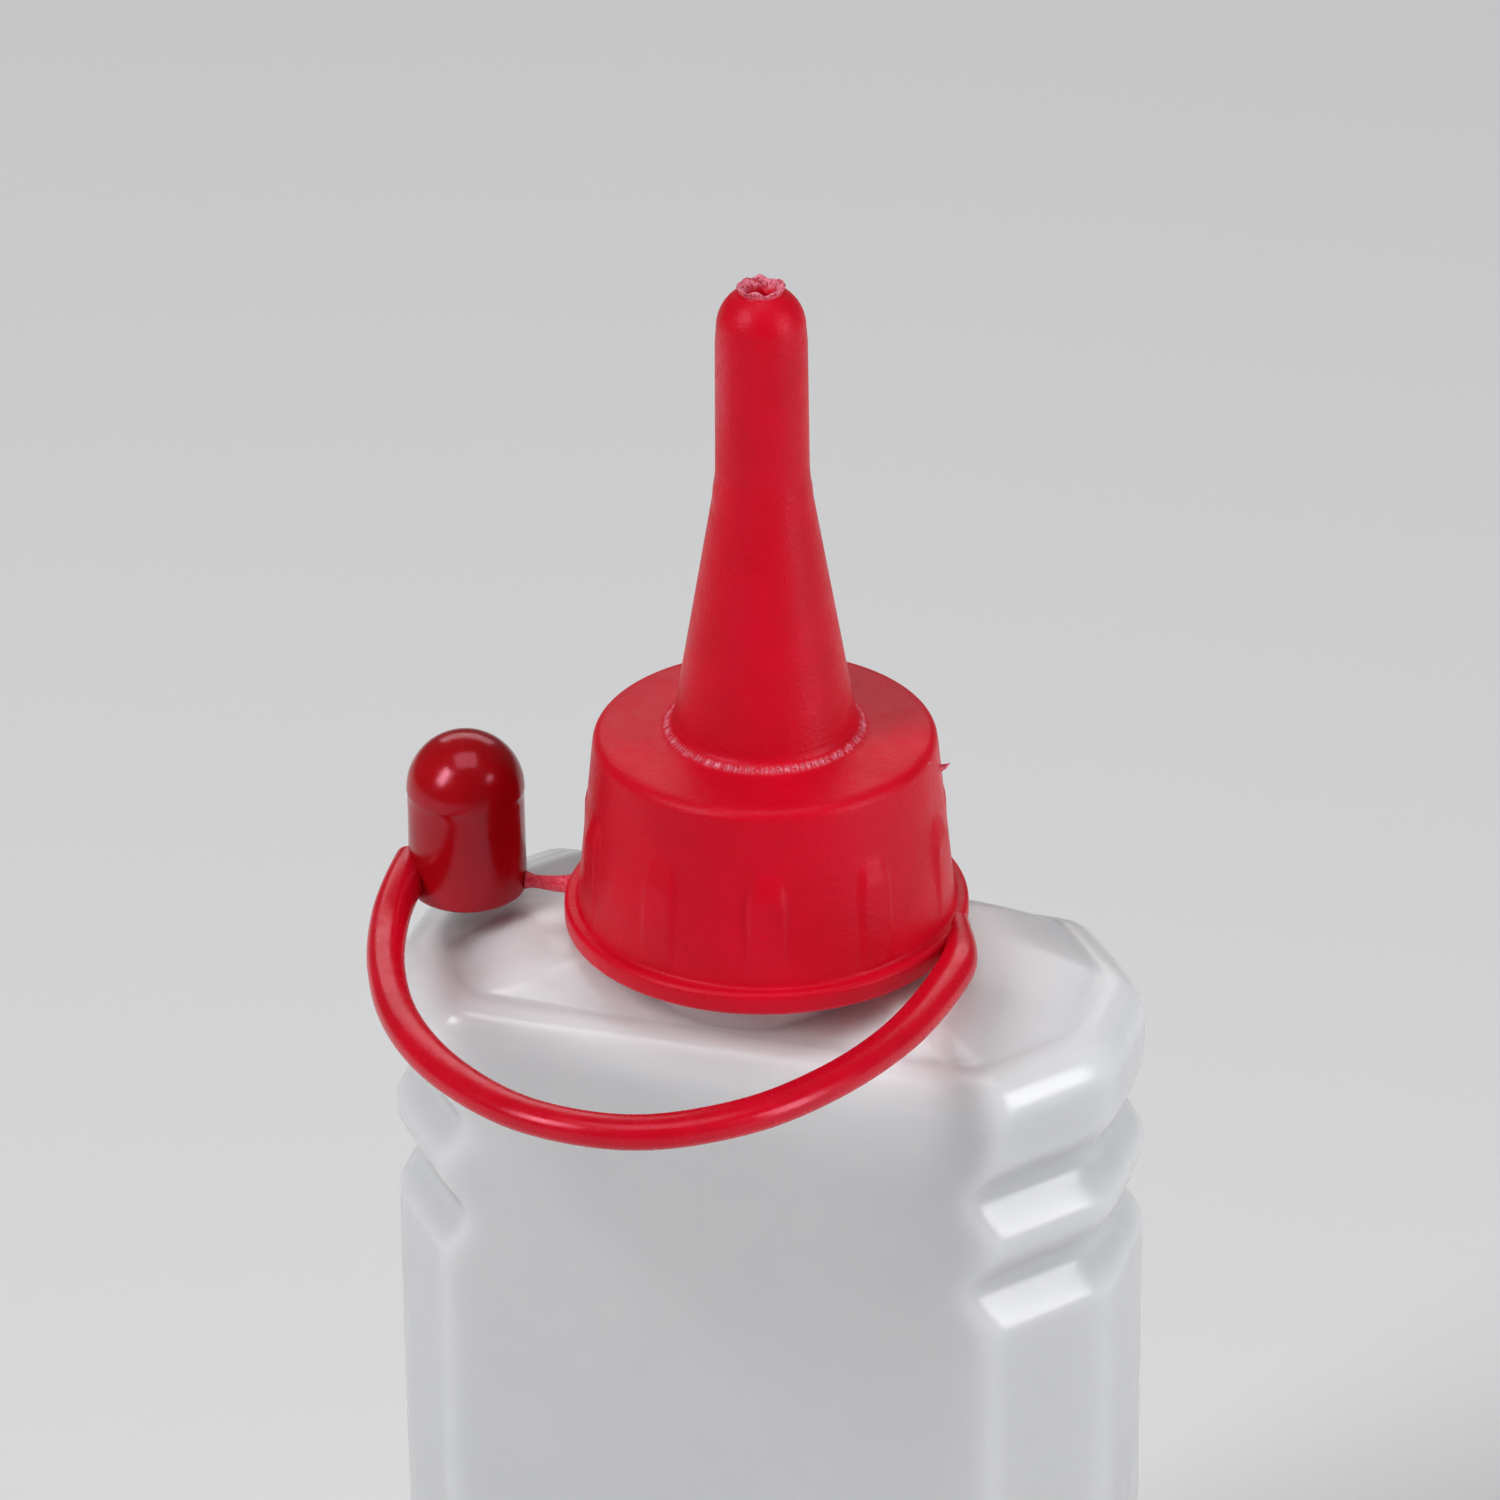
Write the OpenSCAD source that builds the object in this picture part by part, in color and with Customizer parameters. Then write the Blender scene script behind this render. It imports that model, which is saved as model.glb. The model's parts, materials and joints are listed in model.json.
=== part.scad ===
// Glue applicator bottle: a blow-moulded squeeze bottle and a screw cap with a
// drawn-out applicator spout, whose tip cap hangs on a moulded tether.
// Millimetres. The origin is the centre of the base, +Z is up, X runs along the
// bottle's width and the front faces -Y. Heights on the cap count from the
// underside of its flange.

/* [Bottle] */
// Overall width of the bottle
body_w = 53.8; // [50:0.2:60]
// Overall depth of the bottle
body_d = 27; // [26:0.5:32]
// Height of the cap's flange above the base
flange_height = 92; // [80:1:120]
// How far each corner chamfer runs along the width
chamfer_x = 6.5; // [5:0.5:9]
// How far each corner chamfer runs along the depth
chamfer_y = 8.25; // [6:0.25:9]
// Wall thickness of the bottle
wall = 1; // [0.8:0.1:1.5]
// Depth of the two waist grooves
groove_depth = 1.5; // [0:0.1:2]

/* [Neck and thread] */
// Outer radius of the neck
neck_r = 9.8; // [9.6:0.05:9.9]
// Inner radius of the neck
mouth_r = 8.25; // [6:0.25:8.5]
// Rim of the neck above the flange's underside
neck_rise = 12; // [11:0.5:12]
// Thread pitch, one turn lifts the cap by this much
pitch = 3; // [2.5:0.1:3.5]
// Thickness of the sealing washer
washer_t = 1.2; // [0.8:0.1:1.2]

/* [Screw cap] */
// Radius of the flange
flange_r = 14.3; // [13.8:0.1:15]
// Thickness of the flange
flange_t = 1.7; // [1.2:0.1:2.2]
// Radius of the skirt where it leaves the flange
skirt_foot_r = 13.3; // [12.8:0.1:13.5]
// Radius of the skirt at its top
skirt_top_r = 12.1; // [12:0.1:12.6]
// Height of the skirt
skirt_h = 14.9; // [14.5:0.1:16]
// Number of grip ribs
rib_count = 10; // [6:1:16]
// Turn of the cap about the bottle's axis, in degrees
cap_turn = 5; // [-180:1:180]

/* [Spout] */
// Radius of the spout at its foot
spout_foot_r = 6.45; // [6:0.05:7]
// Height of the step where the cone meets the tip
spout_step_z = 34; // [30:0.5:36]
// Radius of the spout's tip
spout_tip_r = 3.2; // [3.1:0.05:3.25]
// Height of the top of the spout
spout_top_z = 49.5; // [48:0.5:52]
// Radius of the outlet hole
outlet_r = 0.8; // [0.4:0.1:1.2]

/* [Tip cap] */
// Outer radius of the tip cap
tip_cap_r = 4.2; // [4.1:0.05:4.6]
// Overall height of the tip cap
tip_cap_h = 12.2; // [12:0.1:14]
// Distance of the tip cap from the axis of the cap
tip_cap_reach = 21.7; // [21:0.1:24]

/* [Tether] */
// Width of the tether
tether_w = 2.75; // [2.2:0.05:3]
// Thickness of the tether
tether_t = 2.3; // [1.8:0.1:2.4]

/* [Hidden] */

crimson = [0.78, 0.05, 0.13];
deep_crimson = [0.66, 0.03, 0.09];
milky = [0.86, 0.87, 0.86];
washer_white = [0.95, 0.95, 0.93];

round_facets = 96;
small_facets = 32;

// ---- bottle ----
base_fillet = 2.5;
chamfer_fillet = 3;
side_fillet = 4;
shoulder_edge = 3.6;      // drop of the shoulder's outer edge below the flange
shoulder_top = 1;         // drop of the shoulder beside the neck
shoulder_fillet = 3;
shoulder_in = 1.8;        // how far the shoulder's fillet comes in, front and back
shoulder_run_x = 11;      // from the bottle's side in to the top of the shoulder
shoulder_run_y = 4.5;     // from its front in to the top of the shoulder
front_rise = 13;          // height over which the front curves in to the shoulder
front_in = 1;             // how far the front has come in at the shoulder
groove_half = 3.6;        // half the height of one groove
groove_1 = 13;            // drops of the two grooves below the flange
groove_2 = 20.5;
arc_steps = 4;            // steps round each corner of the outline
chamfer_len = norm([chamfer_x, chamfer_y]);
chamfer_angle = atan(chamfer_y / chamfer_x);

// ---- thread ----
thread_crest_r = neck_r + 1.1;
socket_r = thread_crest_r + 0.25;
socket_crest_r = neck_r + 0.25;
thread_steps = 24;        // steps in one turn
thread_run_in = 3;        // steps over which a thread's end rises
thread_root_half = 0.75;  // half the thread's width at its root
thread_crest_half = 0.35; // and at its crest
thread_sink = 0.3;        // how far its root lies in the wall
thread_low = 2.4;         // height of the neck thread's first turn
neck_turns = 2.4;
cap_turns = 2;

// ---- cap ----
ceiling_z = neck_rise + washer_t;
crown_z = skirt_h + 0.4;  // height of the cap's top beside the spout
flange_edge = 0.45;       // rounding of the flange's edges
skirt_edge = 1;           // rounding of the skirt's top edge
tip_neck = 0.25;          // how far the cone's end stands out of the tip
dome_drop = 3.2;          // centre of the tip's dome below its top
rim_r = 1.35;             // radius of the torn rim round the outlet
rib_w = 2.6;              // width of a rib
rib_h = 11.1;             // top of a rib above the flange's underside
rib_out = 0.6;            // how far a rib stands out of the skirt
rib_sink = 0.8;           // how far its foot lies inside the skirt
rib_slope = 1.8;          // height of the slope at its top
rib_start = -78;          // direction of one rib before the cap is turned
spout_bore_r = 4.7;

// ---- tip cap ----
socket_mouth_r = 3.6;
socket_end_r = 3.4;
socket_depth = 11.1;

// ---- tether ----
// The route in plan, from the flange's right side round the front to the tip
// cap, before the cap is turned. The points between the ends are the hinges.
tether_start = [14.2, 1];
tether_bend_in = [15, -4];
tether_hinges = [[14.6, -9.4], [12.8, -16.8], [9.4, -23.6], [4.5, -29.2], [-2.3, -32.6],
                 [-9.8, -31.9], [-16.2, -27.8], [-21, -21.9], [-24, -14.9], [-25.5, -7.5]];
tether_end = [-25.6, -0.5];
hinge_count = len(tether_hinges);
tether_z = tether_t / 2 + 0.05;
knuckle_r = 1.1;          // the ball that ends each stretch at a hinge
knuckle_gap = 1.45;       // from a hinge to the start of the next stretch
knuckle_neck = 0.9;       // from the end of a stretch to its ball's centre
stretch_rings = 5;

// ------------------------------------------------------------ helpers

// Points on an arc about (cx, cy), n steps from angle a0 to a1.
function arc(cx, cy, r, a0, a1, n) =
    [for (i = [0:n]) let (a = a0 + (a1 - a0) * i / n) [cx + r * cos(a), cy + r * sin(a)]];

// A closed solid through rings that all have the same number of points.
module loft(rings) {
    n = len(rings[0]);
    m = len(rings);
    points = [for (ring = rings) each ring];
    sides = [for (j = [0:m - 2], i = [0:n - 1])
        [j * n + i, (j + 1) * n + i, (j + 1) * n + (i + 1) % n, j * n + (i + 1) % n]];
    polyhedron(points, concat([[for (i = [0:n - 1]) i]], sides,
                              [[for (i = [n - 1:-1:0]) (m - 1) * n + i]]), convexity = 6);
}

// Catmull-Rom position and direction between p1 and p2.
function spline(p0, p1, p2, p3, t) =
    0.5 * (2 * p1 + (p2 - p0) * t + (2 * p0 - 5 * p1 + 4 * p2 - p3) * t * t
           + (3 * p1 - p0 - 3 * p2 + p3) * t * t * t);
function heading(p0, p1, p2, p3, t) =
    let (v = 0.5 * (p2 - p0 + (4 * p0 - 10 * p1 + 8 * p2 - 2 * p3) * t
                    + (9 * p1 - 3 * p0 - 9 * p2 + 3 * p3) * t * t)) v / norm(v);

// ------------------------------------------------------------ bottle

// Inward depth of the waist grooves at a drop below the flange.
function dip(drop, centre) =
    abs(drop - centre) >= groove_half ? 0
        : groove_depth * (1 + cos(180 * (drop - centre) / groove_half)) / 2;
function groove(drop) = dip(drop, groove_1) + dip(drop, groove_2);

// One corner of the outline, from the front flat round to the side flat. The
// chamfer shrinks with the depth, and a groove g cuts into all but the flat.
function corner(a, b, g) =
    let (k = 2 * b / body_d,
         cx = k * chamfer_x - g + g * chamfer_len / chamfer_y,
         cy = k * chamfer_y + g * (chamfer_len - chamfer_y) / chamfer_x,
         r1 = k * chamfer_fillet, r2 = k * side_fillet,
         t1 = r1 * tan(chamfer_angle / 2), t2 = r2 * tan((90 - chamfer_angle) / 2))
    concat(arc(a - g - cx - t1, b - r1, r1, 90, 90 - chamfer_angle, arc_steps),
           arc(a - g - r2, b - cy - t2, r2, 90 - chamfer_angle, 0, arc_steps));

// The whole outline at one height, anticlockwise from the front right.
function outline(a, b, g, z) =
    let (q = corner(a, b, g), n = len(q) - 1)
    concat([for (i = [0:n]) [q[i][0], -q[i][1], z]],
           [for (i = [n:-1:0]) [q[i][0], q[i][1], z]],
           [for (i = [0:n]) [-q[i][0], q[i][1], z]],
           [for (i = [n:-1:0]) [-q[i][0], -q[i][1], z]]);

// How far the front and back have curved in at a drop below the flange.
function front_curve(drop) =
    let (u = max(0, front_rise + shoulder_edge - drop) / front_rise)
    front_in * (1 - sqrt(max(0, 1 - u * u)));

// Rings of the body, shrunk by t all round for the inside.
module body_solid(t) {
    a = body_w / 2 - t;
    b = body_d / 2 - t;
    top = flange_height - shoulder_edge - t;
    base_rings = [for (k = [0:4]) let (u = 90 * k / 4)
        outline(a - base_fillet * (1 - sin(u)), b - base_fillet * (1 - sin(u)), 0,
                t + base_fillet * (1 - cos(u)))];
    side_rings = [for (drop = [groove_2 + 4:-1:shoulder_edge + shoulder_fillet + 0.5])
        outline(a, b - front_curve(drop), groove(drop), flange_height - drop - t / 2)];
    edge_rings = [for (k = [0:4]) let (u = 90 * k / 4, rise = shoulder_fillet * sin(u),
                                       drop = shoulder_edge + shoulder_fillet - rise)
        outline(a - shoulder_fillet * (1 - cos(u)),
                b - front_curve(drop) - shoulder_in * (1 - cos(u)), 0,
                top - shoulder_fillet + rise)];
    cap_ring = [outline(a - shoulder_run_x, b - shoulder_run_y, 0, flange_height - shoulder_top - t)];
    loft(concat(base_rings, side_rings, edge_rings, cap_ring));
}

// A screw thread: a trapezoid swept up a helix. side is 1 for a thread that
// stands out of a post and -1 for one that stands into a bore.
module thread(root_r, crest_r, z0, turns, side) {
    steps = thread_steps * turns;
    rings = [for (i = [0:steps])
        let (a = 360 * i / thread_steps, z = z0 + pitch * i / thread_steps,
             rise = min(1, i / thread_run_in, (steps - i) / thread_run_in),
             crest = root_r + (crest_r - root_r) * max(0.15, rise),
             under = root_r - side * thread_sink)
        [for (p = [[under, -thread_root_half], [crest, -thread_crest_half],
                   [crest, thread_crest_half], [under, thread_root_half]])
            [p[0] * cos(a), p[0] * sin(a), z + p[1]]]];
    loft(side > 0 ? [for (ring = rings) [ring[3], ring[2], ring[1], ring[0]]] : rings);
}

module bottle() {
    color(milky) difference() {
        union() {
            body_solid(0);
            translate([0, 0, flange_height - shoulder_edge - 1])
                cylinder(r = neck_r, h = neck_rise + shoulder_edge + 1, $fn = round_facets);
            translate([0, 0, flange_height])
                thread(neck_r, thread_crest_r, thread_low, neck_turns, 1);
        }
        body_solid(wall);
        translate([0, 0, flange_height - shoulder_edge - 2])
            cylinder(r = mouth_r, h = neck_rise + shoulder_edge + 3, $fn = round_facets);
    }
}

module sealing_washer() {
    color(washer_white) translate([0, 0, flange_height + neck_rise])
        rotate_extrude($fn = round_facets)
            translate([spout_bore_r, 0]) square([socket_crest_r - 0.15 - spout_bore_r, washer_t]);
}

// ------------------------------------------------------------ closure

// Places the closure's pieces on the bottle.
module on_neck() {
    translate([0, 0, flange_height]) rotate(cap_turn) children();
}

// The cap's outer outline in section, from the underside to the spout's top.
function cap_profile() = concat(
    [[0, 0]],
    arc(flange_r - flange_edge, flange_edge, flange_edge, -90, 0, 4),
    arc(flange_r - flange_edge, flange_t - flange_edge, flange_edge, 0, 90, 4),
    [[skirt_foot_r + 0.3, flange_t], [skirt_foot_r, flange_t + 0.4]],
    arc(skirt_top_r - skirt_edge, skirt_h - skirt_edge, skirt_edge, 5, 90, 4),
    [[spout_foot_r + 0.9, crown_z - 0.1], [spout_foot_r + 0.35, crown_z],
     [spout_foot_r, crown_z + 0.5], [spout_tip_r + tip_neck, spout_step_z],
     [spout_tip_r + 0.08, spout_step_z + 1], [spout_tip_r - 0.02, spout_top_z - 4.5]],
    arc(0, spout_top_z - dome_drop, spout_tip_r - 0.15, 12, 58, 5),
    [[rim_r, spout_top_z], [0, spout_top_z]]);

// The hollow up the spout, from the cap's ceiling to the outlet.
function spout_bore() =
    [[0, ceiling_z - 0.1], [spout_bore_r, ceiling_z - 0.1], [spout_bore_r, ceiling_z + 1],
     [spout_tip_r - 1.1, spout_step_z], [spout_tip_r - 1.2, spout_top_z - 4],
     [outlet_r, spout_top_z - 2.6], [outlet_r, spout_top_z + 1], [0, spout_top_z + 1]];

// One grip rib, before it is turned to its place on the skirt.
module rib() {
    lean = atan((skirt_foot_r - skirt_top_r) / (skirt_h - flange_t));
    top = rib_h - flange_t;
    translate([skirt_foot_r, 0, flange_t]) rotate([0, -lean, 0]) rotate([90, 0, 0])
        linear_extrude(rib_w, center = true)
            polygon([[-rib_sink, -rib_sink], [rib_out, -rib_sink], [rib_out, top - rib_slope],
                     [0, top], [-rib_sink, top]]);
}

// Cross-section of the tether at a place on its route: a bar with eased edges.
function tether_ring(p, v) =
    let (w = tether_w / 2, t = tether_t / 2, c = 0.5, side = [-v[1], v[0]])
    [for (q = [[-w, -t + c], [-w + c, -t], [w - c, -t], [w, -t + c],
               [w, t - c], [w - c, t], [-w + c, t], [-w, t - c]])
        [p[0] + side[0] * q[0], p[1] + side[1] * q[0], tether_z + q[1]]];

// Rings of the tether between points 1 and 2 of four, kept back from them.
function stretch(p, from, to) =
    let (span = norm(p[2] - p[1]))
    [for (i = [0:stretch_rings])
        let (t = (from + (span - from - to) * i / stretch_rings) / span)
        tether_ring(spline(p[0], p[1], p[2], p[3], t), heading(p[0], p[1], p[2], p[3], t))];

tether_route = concat([tether_start, tether_bend_in], tether_hinges, [tether_end]);
function route(i) = tether_route[max(0, min(len(tether_route) - 1, i))];
function span_at(i) = [route(i - 1), route(i), route(i + 1), route(i + 2)];

// The ball at the end of a stretch, centred on the next hinge.
module knuckle(i) {
    p = span_at(i);
    v = heading(p[0], p[1], p[2], p[3], 0);
    translate([p[1][0], p[1][1], tether_z]) rotate(atan2(v[1], v[0]))
        sphere(r = knuckle_r, $fn = small_facets);
}

// Stretch k runs from hinge k to hinge k + 1, and its ball sits in the second.
module tether(k) {
    color(crimson) on_neck() {
        loft(stretch(span_at(k + 1), knuckle_gap, knuckle_neck));
        knuckle(k + 2);
    }
}

// The stretch that grows out of the flange, and its ball in the first hinge.
module tether_root() {
    color(crimson) on_neck() {
        loft(concat(stretch(span_at(0), 0, 0.5), stretch(span_at(1), 0.5, knuckle_neck)));
        knuckle(2);
    }
}

module spout_cap() {
    color(crimson) on_neck() difference() {
        union() {
            rotate_extrude($fn = round_facets) polygon(cap_profile());
            for (k = [0:rib_count - 1]) rotate(360 * k / rib_count + rib_start) rib();
        }
        difference() {
            translate([0, 0, -0.1]) cylinder(r = socket_r, h = ceiling_z + 0.1, $fn = round_facets);
            translate([0, 0, -pitch / 2])
                thread(socket_r, socket_crest_r, thread_low + pitch, cap_turns, -1);
        }
        rotate_extrude($fn = round_facets) polygon(spout_bore());
    }
}

module break_off_tab() {
    gap = tip_cap_reach - tip_cap_r - flange_r;
    color(crimson) on_neck() translate([-flange_r - gap / 2, 0, 0.9])
        cube([gap - 0.2, 1.2, 1.2], center = true);
}

module tip_cap() {
    color(deep_crimson) on_neck() difference() {
        union() {
            translate([-tip_cap_reach, 0, 0]) rotate_extrude($fn = round_facets)
                polygon(concat([[0, 0]], arc(tip_cap_r - 0.3, 0.3, 0.3, -90, 0, 3),
                               arc(0, tip_cap_h - tip_cap_r, tip_cap_r, 0, 90, 12)));
            loft(stretch(span_at(hinge_count + 1), knuckle_gap, 0.5));
        }
        translate([-tip_cap_reach, 0, 0]) rotate_extrude($fn = round_facets)
            polygon([[0, -0.1], [socket_mouth_r, -0.1], [socket_mouth_r, 0.4],
                     [socket_end_r, socket_depth - 3.4],
                     each arc(0, socket_depth - 3.3, socket_end_r, 0, 90, 6)]);
    }
}

// ------------------------------------------------------------ the assembly

bottle();
sealing_washer();
spout_cap();
break_off_tab();
tether_root();
tether(1);  // tether_1
tether(2);  // tether_2
tether(3);  // tether_3
tether(4);  // tether_4
tether(5);  // tether_5
tether(6);  // tether_6
tether(7);  // tether_7
tether(8);  // tether_8
tether(9);  // tether_9
tip_cap();
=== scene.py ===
"""Looks of the glue applicator bottle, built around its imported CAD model.

Everything is in metres and in the CAD model's own frame. Heights on the closure
count from the underside of its flange, as in the CAD source.
"""
import json
import math
import random

import bpy
import numpy as np
from mathutils import Matrix, Vector, noise


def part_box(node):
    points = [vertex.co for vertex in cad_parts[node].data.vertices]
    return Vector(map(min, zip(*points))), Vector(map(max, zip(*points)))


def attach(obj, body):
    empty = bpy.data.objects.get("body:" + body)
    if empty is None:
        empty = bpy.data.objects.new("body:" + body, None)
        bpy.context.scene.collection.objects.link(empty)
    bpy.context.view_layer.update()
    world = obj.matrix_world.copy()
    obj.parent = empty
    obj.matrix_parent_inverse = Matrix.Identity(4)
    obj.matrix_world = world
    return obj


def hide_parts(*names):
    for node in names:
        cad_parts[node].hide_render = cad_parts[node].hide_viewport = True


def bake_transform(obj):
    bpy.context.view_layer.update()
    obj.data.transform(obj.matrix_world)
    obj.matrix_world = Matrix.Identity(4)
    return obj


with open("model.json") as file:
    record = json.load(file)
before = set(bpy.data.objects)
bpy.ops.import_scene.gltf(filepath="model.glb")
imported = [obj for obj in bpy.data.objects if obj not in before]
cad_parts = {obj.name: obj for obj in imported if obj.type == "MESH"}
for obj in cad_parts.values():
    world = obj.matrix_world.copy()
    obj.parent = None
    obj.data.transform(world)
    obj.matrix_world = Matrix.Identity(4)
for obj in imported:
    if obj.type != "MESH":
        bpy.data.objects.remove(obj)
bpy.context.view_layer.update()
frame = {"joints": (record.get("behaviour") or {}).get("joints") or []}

MM = 0.001

# ---------------------------------------------------------------- places
# Driving places come from the CAD boxes and joints.
bottle_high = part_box("bottle")[1]
closure_low, closure_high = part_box("spout_cap")
tip_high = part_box("tip_cap")[1]
washer_low, washer_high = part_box("sealing_washer")

HALF_W = bottle_high.x                     # half the bottle's width
HALF_D = bottle_high.y                     # half its depth
FLANGE_Z = closure_low.z                   # underside of the closure's flange
NECK_RISE = bottle_high.z - FLANGE_Z
SPOUT_TOP = closure_high.z - FLANGE_Z
TIP_CAP_R = 4.2 * MM
TIP_CAP_H = tip_high.z - FLANGE_Z
TIP_CAP_AT = Vector((tip_high.x - TIP_CAP_R, tip_high.y - TIP_CAP_R, FLANGE_Z))
CAP_TURN = math.atan2(-TIP_CAP_AT.y, -TIP_CAP_AT.x)

# The bottle
WALL = 1 * MM
CHAMFER = Vector((6.5 * MM, 8.25 * MM))    # run of a corner chamfer in X and Y
GROOVE_DEPTH = 1.5 * MM
GROOVE_HALF = 3.6 * MM
GROOVES = (13 * MM, 20.5 * MM)             # drops of the waist grooves
CORNER_POWER = 50                          # the higher, the tighter the corners
BASE_FILLET = 2.5 * MM
PUSH_UP = 1.2 * MM                         # hollow of the base
SHOULDER_EDGE = 3.6 * MM
SHOULDER_TOP = 1 * MM
SHOULDER_FILLET = 3 * MM
SHOULDER_IN = 1.8 * MM
SHOULDER_RUN = 9 * MM                      # run over which the shoulder rises in full
FRONT_RISE = 13 * MM
FRONT_IN = 1 * MM
NECK_R = 9.8 * MM
MOUTH_R = 8.25 * MM
OUTLINE_POINTS = 256

# The thread
PITCH = 3 * MM
THREAD_LOW = 2.4 * MM
THREAD_HEIGHT = 1.1 * MM
NECK_TURNS = 2.4
CAP_TURNS = 2
SOCKET_R = NECK_R + 1.35 * MM

# The closure
FLANGE_R = 14.3 * MM
FLANGE_T = 1.7 * MM
SKIRT_FOOT_R = 13.3 * MM
SKIRT_TOP_R = 12.1 * MM
SKIRT_H = 14.9 * MM
CEILING = NECK_RISE + 1.2 * MM
RIBS = 10
RIB_START = math.radians(-78)              # one rib's place before the cap is turned
RIB_W = 2.5 * MM
RIB_TOP = 10.2 * MM
FOOT_R = 6.45 * MM
FOOT_Z = 15.8 * MM
STEP_Z = 34 * MM
TIP_R = 3.18 * MM
LATHE_POINTS = 480

# The tether's ends on the closure before it is turned; its hinges are the joints.
TETHER_START = (14.2 * MM, 1 * MM)
TETHER_ROOT = (15 * MM, -4 * MM)
TETHER_END = (-25.6 * MM, -0.5 * MM)
TETHER_W = 2.7 * MM
TETHER_T = 2.3 * MM
TETHER_Z = FLANGE_Z + 1.2 * MM


def on_cap(x, y, z=0.0):
    """A point given on the unturned closure, in the row frame."""
    c, s = math.cos(CAP_TURN), math.sin(CAP_TURN)
    return Vector((x * c - y * s, x * s + y * c, FLANGE_Z + z))


def smooth(x):
    """0 below 0, 1 above 1, and an S-curve between."""
    x = np.clip(x, 0, 1)
    return x * x * (3 - 2 * x)


def ripple(angles, seed, waves=6, first=2):
    """A wandering value of about -1 to 1 that closes on itself round a circle."""
    rng = np.random.default_rng(seed)
    total = np.zeros_like(angles)
    for k in range(first, first + waves):
        total += rng.uniform(0.4, 1) / math.sqrt(k) * np.sin(k * angles + rng.uniform(0, 6.3))
    return total / 1.6


# ---------------------------------------------------------------- mesh helpers

def line(a, b, n):
    """n points from a to b, b left out."""
    return [(a[0] + (b[0] - a[0]) * i / n, a[1] + (b[1] - a[1]) * i / n) for i in range(n)]


def arc(cx, cy, r, a0, a1, n):
    """n + 1 points on an arc, angles in degrees."""
    angles = [math.radians(a0 + (a1 - a0) * i / n) for i in range(n + 1)]
    return [(cx + r * math.cos(a), cy + r * math.sin(a)) for a in angles]


def skin(name, grid, ring_loop=False, material=None, attributes=None):
    """A closed mesh through a grid of points, rows by points round each row.

    With ring_loop the last row joins the first, otherwise both ends are closed by
    a point in their middle."""
    rows, n = grid.shape[:2]
    points = grid.reshape(-1, 3)
    row_ids = np.arange(rows if ring_loop else rows - 1)
    a = row_ids[:, None] * n + np.arange(n)[None, :]
    b = row_ids[:, None] * n + (np.arange(n)[None, :] + 1) % n
    up = ((row_ids + 1) % rows)[:, None] * n - row_ids[:, None] * n
    quads = np.stack([a, b, b + up, a + up], -1).reshape(-1, 4)
    faces = [tuple(q) for q in quads.tolist()]
    if not ring_loop:
        points = np.vstack([points, grid[0].mean(0), grid[-1].mean(0)])
        low, high, last = rows * n, rows * n + 1, (rows - 1) * n
        faces += [(low, (i + 1) % n, i) for i in range(n)]
        faces += [(high, last + i, last + (i + 1) % n) for i in range(n)]
    mesh = bpy.data.meshes.new(name)
    mesh.from_pydata(points.tolist(), [], faces)
    mesh.validate()
    for key, values in (attributes or {}).items():
        layer = mesh.attributes.new(key, "FLOAT", "POINT")
        flat = np.zeros(len(mesh.vertices), np.float32)
        flat[:values.size] = values.reshape(-1)
        layer.data.foreach_set("value", flat)
    obj = bpy.data.objects.new(name, mesh)
    bpy.context.scene.collection.objects.link(obj)
    outward(mesh)
    mesh.polygons.foreach_set("use_smooth", [True] * len(mesh.polygons))
    if material:
        mesh.materials.append(material)
    return obj


def outward(mesh):
    """Turns all faces of a closed mesh to face out, judged by its volume."""
    mesh.calc_loop_triangles()
    co = np.empty(len(mesh.vertices) * 3)
    mesh.vertices.foreach_get("co", co)
    co = co.reshape(-1, 3)
    tris = np.empty(len(mesh.loop_triangles) * 3, int)
    mesh.loop_triangles.foreach_get("vertices", tris)
    a, b, c = (co[tris[i::3]] for i in range(3))
    if np.einsum("ij,ij->i", a, np.cross(b, c)).sum() < 0:
        mesh.flip_normals()


def flatten_ends(mesh, shape):
    """Gives a lofted mesh crisp flat ends, so that its sides shade right up to them."""
    rows, n = shape[:2]
    last = (rows - 1) * n
    for face in mesh.polygons[len(mesh.polygons) - 2 * n:]:
        face.use_smooth = False
    for edge in mesh.edges:
        a, b = edge.vertices
        edge.use_edge_sharp = (a < n and b < n) or (last <= min(a, b) and max(a, b) < last + n)


def lathe(profile, angles, centre, radii=None, heights=None):
    """Grid of a turned shape. radii and heights may add to each point of it."""
    profile = np.array(profile)
    r = profile[:, 0][:, None] + (0 if radii is None else radii)
    z = profile[:, 1][:, None] + (0 if heights is None else heights)
    r, z = np.broadcast_to(r, (len(profile), len(angles))), np.broadcast_to(
        z, (len(profile), len(angles)))
    return np.stack([centre[0] + r * np.cos(angles), centre[1] + r * np.sin(angles),
                     centre[2] + z], -1)


def thread_height(angles, z, low, turns, fade_angle=math.radians(45)):
    """Share of the full thread height at each height and angle, on a helix."""
    total = np.zeros((len(z), len(angles)))
    base = np.mod(angles, 2 * math.pi)
    for k in range(math.ceil(turns) + 1):
        turned = base + 2 * math.pi * k
        inside = np.minimum(turned, turns * 2 * math.pi - turned)
        fade = np.clip(inside / fade_angle, 0, 1) * (inside > 0)
        crest = low + PITCH * turned / (2 * math.pi)
        away = np.abs(z[:, None] - crest[None, :])
        shape = smooth((0.78 * MM - away) / (0.42 * MM))
        total = np.maximum(total, shape * fade)
    return total


# ---------------------------------------------------------------- materials

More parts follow.
